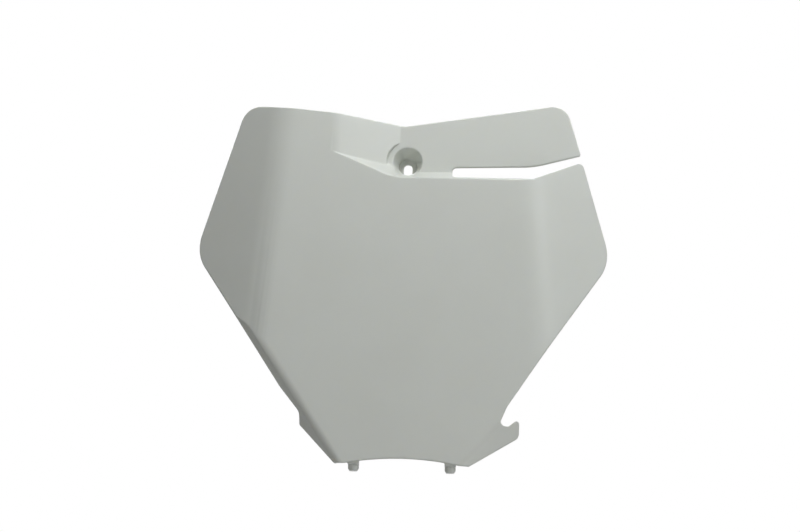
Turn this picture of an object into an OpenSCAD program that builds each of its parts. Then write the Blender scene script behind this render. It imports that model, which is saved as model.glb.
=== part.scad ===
// Front number plate of an off-road motorcycle, moulded in one piece.
// X runs to the viewer's right, Z up, and the plate's face looks towards -Y.
// The origin lies on the seat of the fixing screw.

/* [Wall] */
// Thickness of the moulded wall
wall = 2.2; // [1.6:0.1:3]

/* [Top edge] */
// Height of the valley in the top edge above the middle of the well
valley_z = 25.8; // [22:0.1:30]
// Distance of the valley from the middle of the well, to the left
valley_x = 2; // [0:0.5:6]
// Reach of the left top corner from the middle of the well
top_left_x = 114.5; // [110:0.5:118]
// Height of the left top corner
top_left_z = 38; // [35:0.5:42]
// Distance of the knee in the left top edge, where the side wing starts
knee_x = 89; // [80:0.5:95]
// Height of that knee
knee_z = 33.8; // [32:0.1:35]
// Reach of the right top corner
top_right_x = 110; // [104:0.5:114]
// Height of the right top corner
top_right_z = 44; // [40:0.5:48]
// Corner radius of both top corners
top_round = 12.5; // [8:0.5:16]

/* [Shoulders] */
// Reach of the left shoulder, before it is rounded
shoulder_left = 147; // [142:0.5:152]
// Reach of the right shoulder, before it is rounded
shoulder_right = 143; // [138:0.5:148]
// Depth of both shoulders below the middle of the well
shoulder_z = 66.5; // [60:0.5:74]
// Radius of both shoulders
shoulder_round = 28; // [20:1:34]

/* [Lower edge] */
// Depth of the lower edge below the middle of the well
bottom_z = 214.4; // [208:0.2:222]
// Reach of the left bottom corner
bottom_left = 43; // [40:0.5:46]
// Reach of the right bottom corner
bottom_right = 47.5; // [45:0.5:51]
// Height of the arch in the lower edge
arch_rise = 3.7; // [2:0.1:6]
// Straight stretch of the lower edge at each end of the arch
arch_margin = 7.2; // [4:0.1:10]

/* [Side wings] */
// Angle by which both wings turn back
wing_angle = 27; // [20:1:34]
// Radius of the soft bend at the root of each wing
wing_bend = 45; // [30:1:60]
// Place of the left bend at the height of the well
wing_left_x = 90; // [84:0.5:94]
// Place of the right bend at the height of the well
wing_right_x = 86; // [82:0.5:90]
// Splay of both bends, which run apart towards the bottom
wing_splay = 5; // [2:0.5:8]

/* [Lower sides] */
// Lean of the two lower side edges from the vertical
side_lean = 34; // [30:0.5:37]
// Angle of the left return flange
flange_angle = 55; // [45:1:65]
// Radius at the fold of the left flange
flange_bend = 7; // [4:0.5:9]
// Place of the left fold at the height of the hook
flange_x = 59.5; // [58:0.5:62]
// Width of the left flange at its step, seen from the front
flange_w = 9.3; // [8:0.1:10]
// Height above the lower edge where the left side edge turns in towards the flange
side_turn = 52; // [46:0.5:58]
// Height of the step where the left flange widens, above the lower edge
flange_step = 34.4; // [31:0.2:38]
// Length of the flange's upright end, from that step down to its corner
flange_end = 7.8; // [5:0.2:10]
// Angle of the facet that carries the hook
facet_angle = 36; // [30:1:45]
// Lean of the facet's fold from the vertical
facet_lean = 42; // [38:0.5:46]
// Radius at the fold of that facet
facet_bend = 6; // [4:0.5:10]
// Place of the right fold at the height of the hook
facet_x = 66.9; // [64:0.1:70]

/* [Hook] */
// Reach of the hook from the middle of the well
hook_x = 80.8; // [78:0.2:85]
// Height of the hook's tip above the lower edge
hook_tip = 33.8; // [32:0.2:36]
// Width of the hook where its sloping inner side meets the notch
hook_w = 7.2; // [6:0.1:9]
// Depth of the notch below the hook's tip
notch_deep = 6; // [5:0.1:7]
// Width of the notch's floor, before its corners are rounded
notch_w = 6.7; // [6:0.1:8]
// Height of the hook's outer corner above the lower edge
hook_low = 21.2; // [18:0.2:25]
// Place of the neck where the side edge turns into the notch
neck_x = 72.5; // [71:0.1:76]
// Height of that neck above the lower edge
neck_z = 41; // [39:0.2:45]

/* [Recess] */
// Depth of the flat recess behind the face
recess_deep = 15.5; // [12:0.5:19]
// Place where the slanted face starts, left of the well
slant_x = 50; // [46:0.5:54]
// Place of the crease between the slanted face and the flat
crease_x = 5.5; // [3:0.5:8]
// Radius of the soft bend at the start of the slanted face
slant_bend = 22; // [6:1:30]
// Radius in the crease
crease_bend = 3; // [1:0.5:5]
// Draft of the level stretch of the ledge under the recess
ledge_draft = 29; // [25:1:33]
// Draft of its left stretch
side_draft = 36; // [32:1:40]
// Depth of the ledge's front edge below the middle of the well
ledge_z = 15.4; // [14.6:0.2:17]
// Rise of the ledge's front edge along its left stretch, in degrees
ledge_rise = 22.7; // [20:0.1:27]
// Place where that left stretch starts to rise
ledge_x = 9.4; // [8:0.2:13]
// Length that softens the turn into the left stretch
ledge_turn = 5; // [2:0.5:7]

/* [Hose slot] */
// Place of the slot's closed end
slot_x = 31.5; // [28:0.5:36]
// Depth of the slot's lower edge below the middle of the well
slot_low = 14; // [13:0.2:15]
// Width of the slot at its closed end
slot_w = 10.4; // [8:0.1:12]
// Radius in the corners of the closed end
slot_round = 3; // [1:0.1:4]
// Place where the slot turns up along the right wing
slot_knee_x = 88.5; // [85:0.5:92]
// Rise of the wing's top edge beside the slot, in degrees
slot_rise = 26.5; // [22:0.5:30]
// Height of the tongue's lower corner above the middle of the well
tongue_low_z = 7; // [5:0.5:9]

/* [Screw well] */
// Radius of the well at its rim
well_rim = 10.2; // [9:0.1:12]
// Depth of the well, from rim to seat
well_deep = 14; // [11:0.5:18]
// Tilt of the well, which drops towards its seat
well_tilt = 3; // [0:0.5:8]
// Radius of the straight pocket for the screw's head
pocket_r = 6.6; // [5.8:0.1:7.5]
// Length of that pocket
pocket_deep = 4; // [3:0.5:6]
// Thickness of the well's floor
seat_wall = 3; // [2:0.1:4]
// Width of the open screw slot, which runs down and out of the well
hole_w = 6.2; // [5.2:0.1:6.6]
// Radius of the spot face round the rim
spot_r = 14.5; // [13:0.1:16]

/* [Pegs] */
// Radius of the two pegs
peg_r = 3.7; // [3:0.1:4.2]
// Radius at a peg's tip
peg_tip_r = 2.7; // [2:0.1:3]
// Length of a peg below the lower edge
peg_out = 4.6; // [3:0.1:6]
// Length of the tapered tip
peg_taper = 1.6; // [0.8:0.1:2]
// Radius of a peg's root, which ends in a shoulder
peg_root_r = 3.8; // [3.8:0.1:5]
// Height of a peg's root on the back of the plate
peg_root = 18; // [12:1:26]
// Gap between the straight peg and the back of the wall
peg_gap = 0.5; // [0:0.1:2]
// Place of the left peg
peg_left_x = 30; // [26:0.5:34]
// Place of the right peg
peg_right_x = 35; // [31:0.5:39]

/* [Hidden] */
$fa = 3;
$fs = 0.5;
reach = 320;
far = 700;
back = 60;
block_w = 360;
lap = 0.01;
seat_lap = 0.2;
turn_step = 10;
turn_length = 120;
valley_round = 6;
knee_round = 40;
step_round = 8;
turn_round = 20;
tip_round = 1.6;
bottom_round = 2;
hook_round = 5;
hook_tip_round = 1.9;
notch_round = 2;
notch_root_round = 2.8;
neck_round = 3;
mouth_round = 3.5;
bend_round = 5;
tongue_round = 60;
tongue_rise = 1.8;
tongue_tip_round = 1.6;
peg_shoulder = 0.3;
block_low = 30;
block_high = 60;
slope = tan(side_lean);
hook_line = bottom_z - hook_tip + notch_deep;
seat_y = recess_deep + well_deep * cos(well_tilt);
seat_z = -well_deep * sin(well_tilt);
arch_half = (bottom_left + bottom_right) / 2 - arch_margin;
arch_r = (pow(arch_half, 2) + pow(arch_rise, 2)) / (2 * arch_rise);
wing_lean = atan((shoulder_right - top_right_x) / (top_right_z + shoulder_z));

// The point of the right upper side edge at height z
function right_edge(z) = [shoulder_right - (z + shoulder_z) * tan(wing_lean), z];

// The front outline, anticlockwise from the valley, each point with its corner radius
turn_z = -bottom_z + side_turn;
step_z = -bottom_z + flange_step;
flange_z = step_z - flange_end;
flange_out = -flange_x - flange_w - (hook_line + flange_z) * slope;
turn_out = -shoulder_left + (-shoulder_z - turn_z) * slope;
corner_rise = (right_edge(0)[0] - slot_knee_x) * tan(slot_rise) - slot_low;
outline = [
    [-valley_x, valley_z, valley_round],
    [-knee_x, knee_z, knee_round],
    [-top_left_x, top_left_z, top_round],
    [-shoulder_left, -shoulder_z, shoulder_round],
    [turn_out, turn_z, turn_round],
    [flange_out, step_z, step_round],
    [flange_out, flange_z, tip_round],
    [-bottom_left, -bottom_z, bottom_round],
    [bottom_right, -bottom_z, bottom_round],
    [hook_x, -bottom_z + hook_low, hook_round],
    [hook_x, -bottom_z + hook_tip, hook_tip_round],
    [hook_x - hook_w, -hook_line, notch_round],
    [hook_x - hook_w - notch_w, -hook_line, notch_root_round],
    [neck_x, -bottom_z + neck_z, neck_round],
    [shoulder_right, -shoulder_z, shoulder_round],
    [right_edge(corner_rise)[0], corner_rise, mouth_round],
    [slot_knee_x, -slot_low, bend_round],
    [slot_x, -slot_low, slot_round],
    [slot_x, slot_w - slot_low, slot_round],
    [slot_knee_x, slot_w - slot_low + tongue_rise, tongue_round],
    [right_edge(tongue_low_z)[0], tongue_low_z, tongue_tip_round],
    [top_right_x, top_right_z, top_round],
];

// The line along the slot's middle, which parts the upper band from what lies below it
slot_middle = slot_w / 2 - slot_low;
slot_mouth = right_edge((corner_rise + tongue_low_z) / 2);
knee_middle = slot_middle + tongue_rise / 2;
mouth_slope = (slot_mouth[1] - knee_middle) / (slot_mouth[0] - slot_knee_x);
slot_line = [
    [slot_x + 2 * slot_round, slot_middle],
    [slot_knee_x, knee_middle],
    [reach, knee_middle + (reach - slot_knee_x) * mouth_slope],
];
upper_zone = concat(
    [[-reach, reach], [-reach, -2 * ledge_z], [slot_line[0][0], -2 * ledge_z]],
    slot_line,
    [[reach, reach]]
);
wing_zone = [[slot_knee_x, -reach], slot_line[1], slot_line[2], [reach, -reach]];

function unit(v) = v / norm(v);

// A corner of an outline: [radius, centre, first tangent point, last one, corner, turn]
function corner(points, i) =
    let (
        n = len(points),
        v = [points[i][0], points[i][1]],
        before = points[(i + n - 1) % n],
        after = points[(i + 1) % n],
        a = unit([before[0], before[1]] - v),
        b = unit([after[0], after[1]] - v),
        r = points[i][2],
        half = acos(a * b) / 2
    )
    [r, v + unit(a + b) * r / sin(half), v + a * r / tan(half), v + b * r / tan(half), v, cross(-a, b)];

// The points along a corner's arc, closer together on a larger radius
function arc_points(c) =
    let (
        from = c[2] - c[1],
        swing = atan2(cross(from, c[3] - c[1]), from * (c[3] - c[1])),
        steps = ceil(abs(swing) / min(turn_step, turn_length / c[0]))
    )
    [for (k = [0:steps]) let (t = swing * k / steps)
        c[1] + [from[0] * cos(t) - from[1] * sin(t), from[0] * sin(t) + from[1] * cos(t)]];

// An outline whose corners are drawn as short chords. Each point is [x, y, radius].
function rounded(points) = [
    for (i = [0:len(points) - 1])
        let (c = corner(points, i))
        each (c[0] > 0 ? arc_points(c) : [c[4]])
];

// A prism with rounded corners. Each point is [x, y, radius].
module rounded_prism(points, height) {
    linear_extrude(height, center = true) polygon(rounded(points));
}

// The corners of what lies behind a face that folds back. The flat side runs to +X.
function fold_outline(angle, bend, inset) =
    let (
        start = inset * [tan(angle / 2), 1],
        end = start + reach * [-cos(angle), sin(angle)]
    )
    [
        [end[0], end[1], 0],
        [start[0], start[1], bend - inset],
        [reach, inset, 0],
        [reach, reach + 2 * inset, 0],
        [end[0], reach + 2 * inset, 0],
    ];

// What lies behind the face and the left wing, which meet in a soft bend
module wing_form(x, inset) {
    translate([-x, 0, 0]) rotate([0, wing_splay, 0])
        rounded_prism(fold_outline(wing_angle, wing_bend, inset), 2 * reach);
}

// What lies behind the face and a flange along the lower left side, which meet in a tight fold
module side_form(x, lean, angle, bend, inset) {
    translate([-x, 0, -hook_line]) rotate([0, -lean, 0])
        rounded_prism(fold_outline(angle, bend, inset), 2 * reach);
}

// A block that holds the whole plate
module block(inset) {
    wide = block_w + 2 * inset;
    translate([-wide / 2, -back, -bottom_z - block_low - inset])
        cube([wide, 2 * back + inset, bottom_z + block_low + block_high + 2 * inset]);
}

// What lies behind the whole face below the recess
module lower_form(inset) {
    intersection() {
        block(inset);
        wing_form(wing_left_x, inset);
        mirror([1, 0, 0]) wing_form(wing_right_x, inset);
        side_form(flange_x, side_lean, flange_angle, flange_bend, inset);
        mirror([1, 0, 0]) side_form(facet_x, facet_lean, facet_angle, facet_bend, inset);
        under_ledge(inset);
    }
}

// What lies below a drafted ledge whose front edge rises to the left through a point
module under_plane(x, rise, draft, inset) {
    translate([x, 0, -ledge_z - inset / (cos(draft) * cos(rise))])
        rotate([0, rise, 0]) rotate([draft, 0, 0])
            translate([-far, -far, -far]) cube([2 * far, 2 * far, far]);
}

// What lies below the ledge: a level stretch, a left stretch that rises outwards,
// a short turn between them, and what the hose slot cuts off on the right
module under_ledge(inset) {
    under_plane(-ledge_x, 0, ledge_draft, inset);
    under_plane(-ledge_x + ledge_turn, ledge_rise / 2, (ledge_draft + side_draft) / 2, inset);
    under_plane(-ledge_x, ledge_rise, side_draft, inset);
    rotate([90, 0, 0]) linear_extrude(2 * reach, center = true) polygon(wing_zone);
}

// What lies behind the upper band: the face, the slanted stretch and the flat recess
module upper_band(inset) {
    slant = atan(recess_deep / (slant_x - crease_x));
    shift = inset * tan(slant / 2);
    rounded_prism([
        [-reach, inset, 0],
        [-slant_x - shift, inset, slant_bend - inset],
        [-crease_x - shift, recess_deep + inset, crease_bend + inset],
        [reach, recess_deep + inset, 0],
        [reach, reach, 0],
        [-reach, reach, 0],
    ], 2 * reach);
}

// The spot face that the well's rim stands in, cut into the slanted face
module spot_face(inset) {
    translate([0, recess_deep + inset, 0]) rotate([90, 0, 0])
        cylinder(recess_deep + reach, r = spot_r + inset);
}

// What lies behind the upper band and its left wing, for the part above the ledge
module upper_form(inset) {
    difference() {
        intersection() {
            block(inset);
            upper_band(inset);
            wing_form(wing_left_x, inset);
            rotate([90, 0, 0]) linear_extrude(2 * reach, center = true) polygon(upper_zone);
        }
        spot_face(inset);
    }
}

// What lies behind the whole front
module front_form(inset) {
    lower_form(inset);
    upper_form(inset);
}

// Places its children in the well's rim, along the well's axis
module well_axis() {
    translate([0, recess_deep, 0]) rotate([-90 - well_tilt, 0, 0]) children();
}

// A tapered cup round the well's axis. Its straight pocket ends on the seat.
module cup(grow, floor_deep) {
    taper = (well_rim - pocket_r) / (well_deep - pocket_deep);
    well_axis() {
        translate([0, 0, -recess_deep])
            cylinder(
                recess_deep + well_deep - pocket_deep,
                r1 = well_rim + grow + recess_deep * taper,
                r2 = pocket_r + grow
            );
        translate([0, 0, well_deep - pocket_deep - lap])
            cylinder(pocket_deep + floor_deep + lap, r = pocket_r + grow);
    }
}

// The open screw slot in the well's floor, round at its upper end
module screw_slot() {
    well_axis() translate([0, 0, well_deep - seat_lap]) {
        cylinder(2 * seat_wall, r = hole_w / 2);
        translate([-hole_w / 2, 0, 0]) cube([hole_w, pocket_r + 2 * wall, 2 * seat_wall]);
    }
}

// A locating peg. Its root is a rib on the back of the plate.
module peg(x) {
    middle = wall + peg_r + peg_gap;
    shoulder = -bottom_z - peg_shoulder;
    low = -bottom_z - peg_out;
    translate([x, middle, low]) {
        cylinder(peg_taper, r1 = peg_tip_r, r2 = peg_r);
        translate([0, 0, peg_taper - lap])
            cylinder(shoulder - low - peg_taper + 2 * lap, r = peg_r);
    }
    translate([x, 0, shoulder]) linear_extrude(peg_root) polygon(rounded([
        [-peg_root_r, wall / 2, 0],
        [peg_root_r, wall / 2, 0],
        [peg_root_r, middle + peg_root_r, peg_root_r - lap],
        [-peg_root_r, middle + peg_root_r, peg_root_r - lap],
    ]));
}

module number_plate() {
    color("#c4c7c2") translate([0, -seat_y, -seat_z]) {
        difference() {
            intersection() {
                union() {
                    difference() {
                        front_form(0);
                        front_form(wall);
                    }
                    intersection() {
                        cup(wall, seat_wall);
                        front_form(0);
                    }
                }
                rotate([90, 0, 0]) rounded_prism(outline, 2 * back);
            }
            cup(0, 0);
            screw_slot();
            translate([(bottom_right - bottom_left) / 2, 0, -bottom_z + arch_rise - arch_r])
                rotate([90, 0, 0]) cylinder(2 * back, r = arch_r, center = true);
        }
        peg(-peg_left_x);
        peg(peg_right_x);
    }
}

number_plate();
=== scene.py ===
# %% [markdown]
# A motorcycle's front number plate, dressed for a product picture.
# The plate is one moulding of tough pale grey plastic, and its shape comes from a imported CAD
# model, which is loaded first and stays where it is. What is left to Blender is what a CAD solid
# lacks: softly rounded edges, the finish of the plastic, light, and a camera.
# All lengths are in metres. The plate's face looks towards -Y, its back towards +Y, +Z is up,
# and the origin is the seat of its fixing screw.

# %% Load the frame
import math

import bpy
from mathutils import Matrix, Vector


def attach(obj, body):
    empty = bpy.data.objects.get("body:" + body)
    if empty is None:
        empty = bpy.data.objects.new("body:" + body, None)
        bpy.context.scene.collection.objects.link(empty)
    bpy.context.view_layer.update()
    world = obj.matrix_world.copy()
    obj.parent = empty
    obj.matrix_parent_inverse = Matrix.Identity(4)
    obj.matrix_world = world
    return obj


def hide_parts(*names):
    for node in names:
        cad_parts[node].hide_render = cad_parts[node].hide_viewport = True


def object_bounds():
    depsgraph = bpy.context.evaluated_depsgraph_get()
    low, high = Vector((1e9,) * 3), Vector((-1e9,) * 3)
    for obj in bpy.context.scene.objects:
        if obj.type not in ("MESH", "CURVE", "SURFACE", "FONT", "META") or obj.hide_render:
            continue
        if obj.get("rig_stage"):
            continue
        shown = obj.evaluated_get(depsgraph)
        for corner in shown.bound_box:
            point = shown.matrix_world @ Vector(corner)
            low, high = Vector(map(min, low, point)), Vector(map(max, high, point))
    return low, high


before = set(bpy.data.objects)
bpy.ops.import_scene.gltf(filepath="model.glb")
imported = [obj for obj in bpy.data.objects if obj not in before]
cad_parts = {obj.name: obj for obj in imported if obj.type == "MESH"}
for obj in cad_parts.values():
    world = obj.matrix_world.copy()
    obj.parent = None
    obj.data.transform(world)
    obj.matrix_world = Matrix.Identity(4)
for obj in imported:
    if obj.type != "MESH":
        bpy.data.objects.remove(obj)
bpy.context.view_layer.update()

# %% [markdown]
# The camera stands about 1.4 m in front of the plate and a little below it, and looks up at it.
# It could be placed by eye and nudged. Here it is turned in three steps, lean, swing and roll,
# and then set back from the mouth of the screw well until that lies at its spot in the picture,
# because each of those angles can be read off a picture alone.

# %% Camera
PICTURE_W, PICTURE_H = 800, 532
LENS = 90
SENSOR = 36
FOCAL_PX = LENS / SENSOR * PICTURE_W
DISTANCE = 1.4
LEAN = math.radians(13)
SWING = math.radians(-2)
ROLL = math.radians(1.3)
WELL_MOUTH = Vector((0, -0.01448, 0.00073))
WELL_MOUTH_PX = (407.7, 161.7)
SIGHT = 20

turn = (
    Matrix.Rotation(ROLL, 3, "Y")
    @ Matrix.Rotation(SWING, 3, "Z")
    @ Matrix.Rotation(-LEAN, 3, "X")
)
offset = DISTANCE * Vector((
    (WELL_MOUTH_PX[0] - PICTURE_W / 2) / FOCAL_PX,
    1,
    (PICTURE_H / 2 - WELL_MOUTH_PX[1]) / FOCAL_PX,
))
right, forward, up = turn
place = WELL_MOUTH - turn.transposed() @ offset
aim = Matrix((right, up, -forward)).transposed()
bpy.ops.object.camera_add(location=place, rotation=aim.to_euler())
camera = bpy.context.object
camera.name = "camera"
camera.data.lens = LENS
camera.data.sensor_width = SENSOR
camera.data.clip_end = SIGHT
bpy.context.scene.camera = camera
print("camera at", [round(c, 3) for c in place])

# %% [markdown]
# The plate hangs in plain white surroundings. A white backdrop could be lit until it burns out,
# but that much light would wash out a pale plate too. So the world gives a soft grey light, and
# only the rays that come from the camera, off a gloss or through glass see pure white.

# %% World
AMBIENT = 0.08
AMBIENT_COLOUR = (1, 1, 0.97, 1)
WHITE = (1, 1, 1, 1)

world = bpy.data.worlds.new("soft_room")
bpy.context.scene.world = world
world.use_nodes = True
tree = world.node_tree
tree.nodes.clear()


def seen_directly(tree):
    path = tree.nodes.new("ShaderNodeLightPath")
    camera_or_gloss = tree.nodes.new("ShaderNodeMath")
    camera_or_gloss.operation = "MAXIMUM"
    tree.links.new(path.outputs["Is Camera Ray"], camera_or_gloss.inputs[0])
    tree.links.new(path.outputs["Is Glossy Ray"], camera_or_gloss.inputs[1])
    or_glass = tree.nodes.new("ShaderNodeMath")
    or_glass.operation = "MAXIMUM"
    tree.links.new(camera_or_gloss.outputs[0], or_glass.inputs[0])
    tree.links.new(path.outputs["Is Transmission Ray"], or_glass.inputs[1])
    return or_glass


room = tree.nodes.new("ShaderNodeBackground")
room.inputs["Color"].default_value = AMBIENT_COLOUR
room.inputs["Strength"].default_value = AMBIENT
white = tree.nodes.new("ShaderNodeBackground")
white.inputs["Color"].default_value = WHITE
white.inputs["Strength"].default_value = 1
mix = tree.nodes.new("ShaderNodeMixShader")
tree.links.new(seen_directly(tree).outputs[0], mix.inputs["Fac"])
tree.links.new(room.outputs[0], mix.inputs[1])
tree.links.new(white.outputs[0], mix.inputs[2])
out = tree.nodes.new("ShaderNodeOutputWorld")
tree.links.new(mix.outputs[0], out.inputs["Surface"])
bpy.context.scene.view_settings.view_transform = "Standard"
print("world light", AMBIENT)

# %% [markdown]
# Moulded plastic of this kind is the same pale grey all through, with a satin gloss, and lets a
# little light into its skin. Under a close look the grey drifts a little. One flat colour would
# look like a drawing, and a painted texture would need the plate unwrapped. Noise in the
# plate's own coordinates is simpler, and it stays with the plate from every side.

# %% Plastic: colour
GREY_LIGHT = (0.688, 0.708, 0.658, 1)
GREY_DARK = (0.672, 0.690, 0.638, 1)
DRIFT_SCALE = 26
DRIFT_FROM, DRIFT_TO = 0.3, 0.7
REFRACTION = 1.49
SKIN_SHARE = 0.1
SKIN_DEPTH = 0.003
SKIN_TINT = (1, 0.85, 0.5)

plastic = bpy.data.materials.new("moulded_plastic")
plastic.use_nodes = True
tree = plastic.node_tree
shader = tree.nodes["Principled BSDF"]
shader.inputs["IOR"].default_value = REFRACTION
shader.inputs["Subsurface Weight"].default_value = SKIN_SHARE
shader.inputs["Subsurface Radius"].default_value = SKIN_TINT
shader.inputs["Subsurface Scale"].default_value = SKIN_DEPTH
place_on_plate = tree.nodes.new("ShaderNodeTexCoord")


def noise(scale, detail):
    node = tree.nodes.new("ShaderNodeTexNoise")
    node.inputs["Scale"].default_value = scale
    node.inputs["Detail"].default_value = detail
    tree.links.new(place_on_plate.outputs["Object"], node.inputs["Vector"])
    return node


drift = tree.nodes.new("ShaderNodeValToRGB")
drift.color_ramp.elements[0].position = DRIFT_FROM
drift.color_ramp.elements[1].position = DRIFT_TO
drift.color_ramp.elements[0].color = GREY_DARK
drift.color_ramp.elements[1].color = GREY_LIGHT
tree.links.new(noise(DRIFT_SCALE, 3).outputs["Fac"], drift.inputs["Fac"])
tree.links.new(drift.outputs["Color"], shader.inputs["Base Color"])
print("plastic", plastic.name, "drifts", GREY_DARK[1], "to", GREY_LIGHT[1])

# %% [markdown]
# On a moulding the gloss changes a little where the melt flowed, the skin has a fine, shallow
# ripple, and every rim is softly rounded. The ripple is far too fine to model, so it is bump. The
# rims get a small true rounding further on, and the shader's own Bevel node softens them a
# little more, which can't make faces cross where edges lie close together.

# %% Plastic: gloss, ripple and soft rims
ROUGH_LOW, ROUGH_HIGH = 0.3, 0.38
FLOW_SCALE = 60
RIPPLE_SCALE = 900
RIPPLE_DEPTH = 0.00001
RIPPLE_STRENGTH = 0.3
RIM_ROUND = 0.0013
RIM_SAMPLES = 8

flow = tree.nodes.new("ShaderNodeMapRange")
flow.inputs["To Min"].default_value = ROUGH_LOW
flow.inputs["To Max"].default_value = ROUGH_HIGH
tree.links.new(noise(FLOW_SCALE, 2).outputs["Fac"], flow.inputs["Value"])
tree.links.new(flow.outputs["Result"], shader.inputs["Roughness"])
ripple = tree.nodes.new("ShaderNodeBump")
ripple.inputs["Strength"].default_value = RIPPLE_STRENGTH
ripple.inputs["Distance"].default_value = RIPPLE_DEPTH
tree.links.new(noise(RIPPLE_SCALE, 2).outputs["Fac"], ripple.inputs["Height"])
soft_rim = tree.nodes.new("ShaderNodeBevel")
soft_rim.samples = RIM_SAMPLES
soft_rim.inputs["Radius"].default_value = RIM_ROUND
tree.links.new(soft_rim.outputs["Normal"], ripple.inputs["Normal"])
tree.links.new(ripple.outputs["Normal"], shader.inputs["Normal"])
print("roughness", ROUGH_LOW, "to", ROUGH_HIGH, "rims", RIM_ROUND)

# %% [markdown]
# The plate itself is a shell 2.2 mm thick. It could be modelled afresh over the CAD solid, but
# every bend, the screw well, the slot and the hook are already true there. So its mesh is copied,
# the doubled points between CAD faces are merged, and the flat stretches are made whole again,
# so that the edges are clean enough to be rounded. The frame's own marks stay on the CAD node
# alone.

# %% Copy the moulding
MERGE = 0.00008
FLAT_ENOUGH = math.radians(0.6)


def pick(piece):
    bpy.ops.object.select_all(action="DESELECT")
    piece.select_set(True)
    bpy.context.view_layer.objects.active = piece


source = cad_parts["number_plate"]
plate = source.copy()
plate.data = source.data.copy()
for key in [k for k in plate.keys() if k.startswith("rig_")]:
    del plate[key]
plate.parent = None
plate.name = "plate_skin"
bpy.context.scene.collection.objects.link(plate)
pick(plate)
bpy.ops.object.mode_set(mode="EDIT")
bpy.ops.mesh.select_all(action="SELECT")
bpy.ops.mesh.remove_doubles(threshold=MERGE)
bpy.ops.mesh.dissolve_limited(angle_limit=FLAT_ENOUGH, delimit=set())
bpy.ops.object.mode_set(mode="OBJECT")
print("clean faces", len(plate.data.polygons))

# %% [markdown]
# No edge of the real moulding is sharp: the steel mould leaves a soft rim all round the face, the
# slot, the hook and the ledge. A bevel does this. With its overlap clamp, the shortest edge of all
# would shrink it everywhere. So the clamp is off, and each edge gets a weight. Only clear edges
# count, and none behind the pegs or in the few spots where edges crowd together. Each such spot
# is given by its place from the front, x and z, and its reach.

# %% Weigh the edges
ROUND_ABOVE = math.radians(45)
PEG_TOP_Z = -0.2095
WALL_BACK_Y = -0.0272
CROWDED = {
    "ledge tip": (-0.050, 0.001, 0.010),
    "crease end": (-0.009, 0.0145, 0.005),
    "slot knee": (0.089, -0.014, 0.004),
    "screw slot": (0, -0.002, 0.0065),
}


def crowded(point):
    if point.z < PEG_TOP_Z and point.y > WALL_BACK_Y:
        return True
    return any(math.hypot(point.x - x, point.z - z) < reach for x, z, reach in CROWDED.values())


sides = {}
for face in plate.data.polygons:
    for key in face.edge_keys:
        sides.setdefault(key, []).append(face)


def weight(edge):
    one, other = sides[edge.key]
    ends = [plate.data.vertices[v].co for v in edge.vertices]
    turned = one.normal.angle(other.normal) > ROUND_ABOVE
    return float(turned and not crowded((ends[0] + ends[1]) / 2))


weights = [weight(edge) for edge in plate.data.edges]
layer = plate.data.attributes.new("bevel_weight_edge", "FLOAT", "EDGE")
layer.data.foreach_set("value", weights)
print("edges to round", int(sum(weights)), "of", len(weights))

# %% Round the edges
EDGE_ROUND = 0.0006
ROUND_STEPS = 5
SMOOTH_BELOW = math.radians(24)

bevel = plate.modifiers.new("soft_edges", "BEVEL")
bevel.limit_method = "WEIGHT"
bevel.width = EDGE_ROUND
bevel.segments = ROUND_STEPS
bevel.use_clamp_overlap = False
bpy.ops.object.modifier_apply(modifier="soft_edges")
bpy.ops.object.shade_smooth_by_angle(angle=SMOOTH_BELOW)
level = plate.modifiers.new("flat_faces", "WEIGHTED_NORMAL")
level.keep_sharp = True
bpy.ops.object.modifier_apply(modifier="flat_faces")
plate.data.materials.clear()
plate.data.materials.append(plastic)
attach(plate, "root")
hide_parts("number_plate")
print("plate faces", len(plate.data.polygons), "vertices", len(plate.data.vertices))

# %% [markdown]
# A white paper floor lies well below the plate. It throws a little light up to the plate's lower
# edges and takes a soft shadow. Lit by these lamps alone it would look grey from other sides. More
# light would burn out the plate, so the paper glows a little, but only for rays that come from
# the camera, off a gloss or through glass.

# %% Floor
FLOOR_Z = -0.62
FLOOR_SIZE = 30
PAPER_GREY = (0.55, 0.55, 0.55, 1)
PAPER_ROUGH = 0.9
GLOW = 0.62

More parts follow.
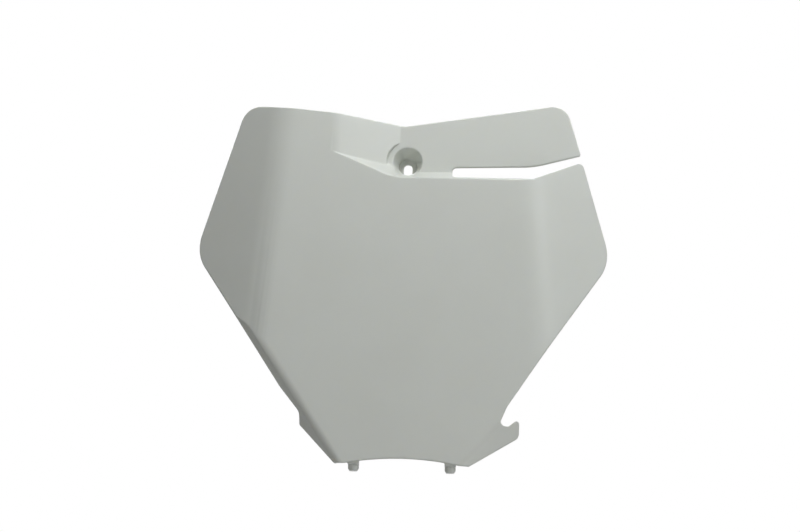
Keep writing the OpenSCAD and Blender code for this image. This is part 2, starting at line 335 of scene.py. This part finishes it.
bpy.ops.mesh.primitive_plane_add(size=FLOOR_SIZE, location=(0, 0, FLOOR_Z))
floor = bpy.context.object
floor.name = "floor"
paper = bpy.data.materials.new("white_paper")
paper.use_nodes = True
tree = paper.node_tree
surface = tree.nodes["Principled BSDF"]
surface.inputs["Base Color"].default_value = PAPER_GREY
surface.inputs["Roughness"].default_value = PAPER_ROUGH
glow = tree.nodes.new("ShaderNodeEmission")
strength = tree.nodes.new("ShaderNodeMath")
strength.operation = "MULTIPLY"
strength.inputs[1].default_value = GLOW
both = tree.nodes.new("ShaderNodeAddShader")
tree.links.new(seen_directly(tree).outputs[0], strength.inputs[0])
tree.links.new(strength.outputs[0], glow.inputs["Strength"])
tree.links.new(surface.outputs[0], both.inputs[0])
tree.links.new(glow.outputs[0], both.inputs[1])
tree.links.new(both.outputs[0], tree.nodes["Material Output"].inputs["Surface"])
floor.data.materials.append(paper)
floor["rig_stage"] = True
print("floor at", FLOOR_Z)

# %% [markdown]
# The lamps are softboxes, square area lights that all look at the middle of the plate. One big
# box in front would light it, but flatly, and a sun would give hard shadows. Here two boxes high
# at the right lift that side above the left wing, one near the top brightens the ledge and lets
# the face grow darker towards its lower end, a weak one in front fills the left wing, a small
# one low at the right lifts the hook, and one behind lights the back.

# %% Lamps
TARGET = Vector((0, 0, -0.08))


def softbox(name, location, size, watts, colour):
    bpy.ops.object.light_add(type="AREA", location=location)
    lamp = bpy.context.object
    lamp.name = name
    lamp.data.shape = "SQUARE"
    lamp.data.size = size
    lamp.data.energy = watts
    lamp.data.color = colour
    direction = TARGET - Vector(location)
    lamp.rotation_euler = direction.to_track_quat("-Z", "Y").to_euler()
    print(name, watts, "W at", location)


softbox("key", (1.4, -1.6, 1.0), 0.9, 8.8, (0.975, 1, 1.04))
softbox("high_key", (1.1, -1.0, 1.5), 0.9, 4.2, (0.975, 1, 1.04))
softbox("near_top", (0.1, -0.35, 0.5), 0.45, 2.6, (0.985, 1, 1.02))
softbox("front_fill", (-0.4, -2.0, 0.2), 1.4, 1.7, (1, 1, 1.02))
softbox("low_kicker", (0.35, -0.25, -0.45), 0.2, 0.3, (1, 1, 1))
softbox("back", (-0.8, 1.6, 0.7), 1.2, 19, (1, 1, 1))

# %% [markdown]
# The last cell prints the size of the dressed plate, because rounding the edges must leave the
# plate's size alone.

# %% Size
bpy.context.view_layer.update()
low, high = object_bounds()
print("dressed size in mm", [round(1000 * (b - a), 1) for a, b in zip(low, high)])
